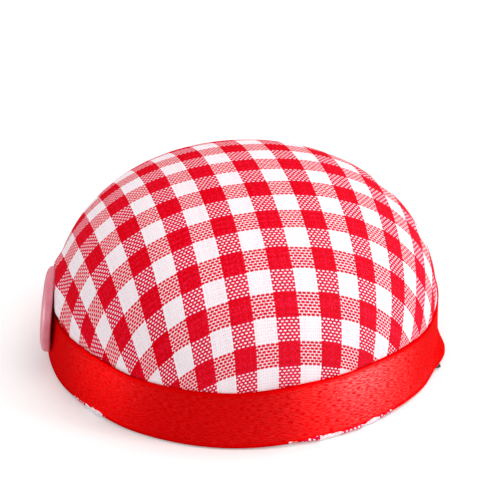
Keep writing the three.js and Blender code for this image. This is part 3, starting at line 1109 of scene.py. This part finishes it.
class PINCUSHION_OT_button_thread(bpy.types.Operator):
    """Sew the button on with two stitches and a knot inside the cushion"""

    bl_idname = "pincushion.button_thread"
    bl_label = "Button Thread"

    RADIUS = 0.28 * MM
    STITCH_FLATTEN = 0.35
    LEG_BACK = -1.6 * MM
    KNOT_RADIUS = 0.9 * MM
    KNOT_SHAPE = (2.2, 2.2, 0.8, 1)
    KNOT_FINENESS = 3
    STITCHES = ((0, 1), (3, 2))
    THREAD_SEGMENTS = 10
    STITCH_STEPS = 14

    def add_leg(self, bm, ring, depth):
        """Lead the thread down from a ring of edges."""
        made = bmesh.ops.extrude_edge_only(bm, edges=ring)["geom"]
        lowered = [part for part in made if isinstance(part, bmesh.types.BMVert)]
        bmesh.ops.translate(bm, verts=lowered, vec=(0, 0, depth))

    def stitch(self, bm, first, second, floor):
        """An arch of thread between two holes, with a leg down each."""
        middle = (first + second) / 2
        heading = (second - first).normalized()
        made = bmesh.ops.create_circle(
            bm, cap_ends=False, segments=self.THREAD_SEGMENTS, radius=self.RADIUS,
            matrix=Matrix.Translation(first - middle),
        )["verts"]
        ring = list({edge for vert in made for edge in vert.link_edges})
        self.add_leg(bm, ring, self.LEG_BACK - floor)
        swept = bmesh.ops.spin(
            bm, geom=made + ring, axis=Vector((0, 0, 1)).cross(heading), cent=(0, 0, 0),
            angle=pi, steps=self.STITCH_STEPS,
        )["geom_last"]
        far_ring = [part for part in swept if isinstance(part, bmesh.types.BMEdge)]
        self.add_leg(bm, far_ring, self.LEG_BACK - floor)
        for vert in bm.verts:
            if vert.co.z > 0:
                vert.co.z *= self.STITCH_FLATTEN
        bmesh.ops.translate(bm, verts=bm.verts, vec=middle + Vector((0, 0, floor)))

    def execute(self, context):
        button = context.scene.pincushion_button
        spots = hole_spots(button)
        floor = button.standoff + button.thickness - button.well_depth
        whole = bmesh.new()
        mesh = bpy.data.meshes.new("stitch")
        for first, second in self.STITCHES:
            bm = bmesh.new()
            self.stitch(bm, spots[first], spots[second], floor)
            bm.to_mesh(mesh)
            bm.free()
            whole.from_mesh(mesh)
        bpy.data.meshes.remove(mesh)
        knot = Matrix.Translation((0, 0, self.LEG_BACK)) @ Matrix.Diagonal(self.KNOT_SHAPE)
        bmesh.ops.create_icosphere(
            whole, subdivisions=self.KNOT_FINENESS, radius=self.KNOT_RADIUS, matrix=knot
        )
        close_holes(whole)
        bmesh.ops.transform(whole, matrix=button_place(), verts=whole.verts)
        finish = thread_finish("button_thread", button.thread)
        piece = add_piece(whole, "button_stitches", finish, "button")
        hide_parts("button_thread")
        return {"FINISHED"}


class StrapRoute:
    """The middle of the elastic from the centre, along the table, round the rim and in above the base.

    Each point has its reach, its height and how far the glue spreads a corner of the fold there.
    """

    UPPER_FULLNESS = 2.6
    LOWER_FULLNESS = 6
    FOLD_STEPS = 60
    CORNER_SPREAD = 3.3 * MM
    CORNER_TOP = -0.72

    def __init__(self, strap):
        thick = STRAP_HIGH.z - STRAP_LOW.z
        low = (STRAP_LOW.z + STRAP_HIGH.z) / 2
        high = TAIL_HIGH.z - thick / 2
        half = (high - low) / 2
        bend = strap.fold_reach - thick / 2 - half
        self.spots = [Vector((0, low, 0)), Vector((bend, low, 0))]
        for step in range(1, self.FOLD_STEPS):
            angle = pi * (step / self.FOLD_STEPS - 0.5)
            power = 2 / (self.UPPER_FULLNESS if angle > 0 else self.LOWER_FULLNESS)
            bulge = cos(angle) ** power
            rise = copysign(abs(sin(angle)) ** power, sin(angle))
            spread = self.CORNER_SPREAD * (1 - smooth_step(-1, self.CORNER_TOP, rise)) * bulge
            self.spots.append(Vector((bend + half * bulge, low + half + half * rise, spread)))
        self.spots += [Vector((bend, high, 0)), Vector((bend - strap.tail, high, 0))]
        self.walks = [0.0]
        for first, second in zip(self.spots, self.spots[1:]):
            self.walks.append(self.walks[-1] + (second - first).xy.length)
        self.length = self.walks[-1]

    def at(self, walked):
        """The point at a length along the elastic."""
        leg = next((i for i, end in enumerate(self.walks[1:]) if walked <= end), len(self.walks) - 2)
        part = (walked - self.walks[leg]) / (self.walks[leg + 1] - self.walks[leg])
        return self.spots[leg].lerp(self.spots[leg + 1], part)


class PINCUSHION_OT_wrist_strap(bpy.types.Operator):
    """Make the elastic strap: two runs that meet under the base, and a folded tail glued in at each side"""

    bl_idname = "pincushion.wrist_strap"
    bl_label = "Wrist Strap"

    SIDES = {
        "right": (0, 1, ["strap_right_run"]),
        "left": (pi, 0, ["strap_left_run", "strap_middle"]),
    }
    RUN = 27 * MM
    STEP = 0.45 * MM
    WIDTH_STEPS = 24
    BLEND_START = 7 * MM
    BLEND_END = 26 * MM
    CORNER_START = 0.3
    THICKNESS = 0.9 * (STRAP_HIGH.z - STRAP_LOW.z)

    def strip(self, strap, route, heading, corner, start, end):
        """A stretch of the elastic between two lengths along its route."""
        ahead = polar(1, heading, 0)
        aside = Vector((-ahead.y, ahead.x, 0))
        length = end - start
        bm = flat_strip(start, length, strap.width, round(length / self.STEP), self.WIDTH_STEPS)
        for vert in bm.verts:
            spot = route.at(vert.co.x)
            spread = corner * spot.z * smooth_step(self.CORNER_START, 1, -2 * vert.co.y / strap.width)
            vert.co = ahead * (spot.x + spread) + aside * vert.co.y + Vector((0, 0, spot.y))
        return bm

    def execute(self, context):
        strap = context.scene.pincushion_strap
        finish = elastic_finish(strap)
        route = StrapRoute(strap)
        for side, (half_turn, corner, run_nodes) in self.SIDES.items():
            heading = strap.turn + half_turn
            ahead = polar(1, heading, 0)
            bm = self.strip(strap, route, heading, corner, 0, self.RUN)
            run = add_piece(bm, f"strap_{side}", finish, None)
            add_wall(run, "webbing", self.THICKNESS, 0)
            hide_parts(*run_nodes)
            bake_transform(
                run, "wrist_strap", "cushion", start=ahead * self.BLEND_START, end=ahead * self.BLEND_END
            )
            bm = self.strip(strap, route, heading, corner, self.RUN, route.length)
            fold = add_piece(bm, f"strap_{side}_fold", finish, "cushion")
            add_wall(fold, "webbing", self.THICKNESS, 0)
            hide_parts(f"strap_{side}_tail")
        return {"FINISHED"}


class PINCUSHION_OT_inner_parts(bpy.types.Operator):
    """Give the board, the glue and the gathering thread their finishes"""

    bl_idname = "pincushion.inner_parts"
    bl_label = "Inner Parts"

    GATHER_WHITE = seen(244, 240, 238)

    def execute(self, context):
        glue = glue_finish()
        finishes = {
            "base_board": board_finish(),
            "glue_pad_front": glue,
            "glue_pad_back": glue,
            "gather_thread": thread_finish("gather_thread", self.GATHER_WHITE),
        }
        for node, finish in finishes.items():
            mesh = frame["nodes"][node].data
            mesh.materials.clear()
            mesh.materials.append(finish.material)
        return {"FINISHED"}


class PINCUSHION_OT_stage(bpy.types.Operator):
    """Set the floor, the lights and the camera"""

    bl_idname = "pincushion.stage"
    bl_label = "Stage"

    FLOOR_WHITE = 0.85
    FLOOR_GLOW = 0.22
    RAYS = ("Is Camera Ray", "Is Glossy Ray", "Is Transmission Ray")
    IMAGE = 500
    AIM_PIXEL = (244.7, 261.7)
    LAMPS = {
        "key": ((0.4, 0.1, 0.9), (0.7, 0.7)),
        "side": ((0.85, -0.25, 0.32), (0.2, 0.2)),
        "gloss": ((0.35, -0.186, 0.032), (0.06, 0.06)),
        "left_gloss": ((-0.369, -0.092, 0.032), (0.24, 0.06)),
        "fill": ((-0.8, -0.5, 0.5), (0.9, 0.9)),
    }
    HIGHLIGHT_LAMPS = ("gloss", "left_gloss")

    def shown(self, finish):
        """One for the rays that see the background, straight or in a reflection."""
        rays = finish.node("ShaderNodeLightPath").outputs
        camera, glossy, transmission = (Number(finish, rays[name]) for name in self.RAYS)
        return (camera + glossy + transmission).least(1)

    def floor(self, stage):
        finish = Finish("floor")
        tree = finish.tree
        tree.nodes.remove(finish.shader)
        matt = finish.node("ShaderNodeBsdfDiffuse", None, {"Color": (self.FLOOR_WHITE,) * 3})
        glow = finish.node("ShaderNodeEmission", None, {"Strength": self.FLOOR_GLOW * self.shown(finish)})
        both = finish.node("ShaderNodeAddShader", None, {0: matt.outputs[0], 1: glow.outputs[0]})
        tree.links.new(both.outputs[0], tree.nodes["Material Output"].inputs["Surface"])
        bm = bmesh.new()
        bmesh.ops.create_grid(bm, x_segments=1, y_segments=1, size=stage.floor_size / 2)
        floor = add_mesh(bm, "floor")
        bm.free()
        floor.data.materials.append(finish.material)

    def sky(self, context, stage):
        world = bpy.data.worlds.new("studio")
        world.use_nodes = True
        context.scene.world = world
        finish = NodeTree(world.node_tree)
        background = finish.tree.nodes["Background"]
        finish.feed(background.inputs["Color"], (1, 1, 1))
        strength = stage.ambient + (1 - stage.ambient) * self.shown(finish)
        finish.feed(background.inputs["Strength"], strength)

    def lamp(self, context, stage, name):
        place, sides = self.LAMPS[name]
        light = bpy.data.lights.new(name, "AREA")
        light.energy = getattr(stage, f"{name}_power")
        light.shape = "RECTANGLE"
        light.size, light.size_y = sides
        lamp = bpy.data.objects.new(name, light)
        lamp.location = place
        lamp.rotation_euler = (-Vector(place)).to_track_quat("-Z", "Y").to_euler()
        if name in self.HIGHLIGHT_LAMPS:
            lamp.visible_diffuse = False
            lamp.visible_camera = False
        context.scene.collection.objects.link(lamp)

    def camera(self, context, stage):
        data = bpy.data.cameras.new("camera")
        data.lens = stage.lens
        data.shift_x = (self.IMAGE / 2 - self.AIM_PIXEL[0]) / self.IMAGE
        data.shift_y = (self.AIM_PIXEL[1] - self.IMAGE / 2) / self.IMAGE
        camera = bpy.data.objects.new("camera", data)
        eye = Vector(stage.eye)
        facing = (Vector(stage.aim) - eye).to_track_quat("-Z", "Y").to_matrix().to_4x4()
        camera.matrix_world = Matrix.Translation(eye) @ facing @ Matrix.Rotation(stage.roll, 4, "Z")
        context.scene.collection.objects.link(camera)
        context.scene.camera = camera

    def execute(self, context):
        stage = context.scene.pincushion_stage
        self.floor(stage)
        self.sky(context, stage)
        for name in self.LAMPS:
            self.lamp(context, stage, name)
        self.camera(context, stage)
        context.scene.view_settings.view_transform = "Standard"
        return {"FINISHED"}


# The sidebar


class PINCUSHION_PT_build(bpy.types.Panel):
    """Lists the pieces and their settings"""

    bl_idname = "PINCUSHION_PT_build"
    bl_label = "Pincushion"
    bl_space_type = "VIEW_3D"
    bl_region_type = "UI"
    bl_category = "Pincushion"

    def draw(self, context):
        for name, group in SETTINGS.items():
            box = self.layout.box()
            box.label(text=group.__doc__)
            values = getattr(context.scene, name)
            for key in group.__annotations__:
                box.prop(values, key)
        for operator in OPERATORS:
            self.layout.operator(operator.bl_idname)


SETTINGS = {
    "pincushion_cloth": PincushionCloth,
    "pincushion_ribbon": PincushionRibbon,
    "pincushion_button": PincushionButton,
    "pincushion_strap": PincushionStrap,
    "pincushion_stage": PincushionStage,
}
OPERATORS = (
    PINCUSHION_OT_stage,
    PINCUSHION_OT_gingham_dome,
    PINCUSHION_OT_stuffing,
    PINCUSHION_OT_base_wrap,
    PINCUSHION_OT_satin_ribbon,
    PINCUSHION_OT_pink_button,
    PINCUSHION_OT_button_thread,
    PINCUSHION_OT_wrist_strap,
    PINCUSHION_OT_inner_parts,
)


def register():
    for group in SETTINGS.values():
        bpy.utils.register_class(group)
    for operator in OPERATORS:
        bpy.utils.register_class(operator)
    bpy.utils.register_class(PINCUSHION_PT_build)
    for name, group in SETTINGS.items():
        setattr(bpy.types.Scene, name, PointerProperty(type=group))


def unregister():
    for name in SETTINGS:
        delattr(bpy.types.Scene, name)
    bpy.utils.unregister_class(PINCUSHION_PT_build)
    for operator in reversed(OPERATORS):
        bpy.utils.unregister_class(operator)
    for group in reversed(SETTINGS.values()):
        bpy.utils.unregister_class(group)


def main():
    register()
    bpy.ops.pincushion.stage()
    bpy.ops.pincushion.gingham_dome()
    bpy.ops.pincushion.stuffing()
    bpy.ops.pincushion.base_wrap()
    bpy.ops.pincushion.satin_ribbon()
    bpy.ops.pincushion.pink_button()
    bpy.ops.pincushion.button_thread()
    bpy.ops.pincushion.wrist_strap()
    bpy.ops.pincushion.inner_parts()


if __name__ == "__main__":
    main()
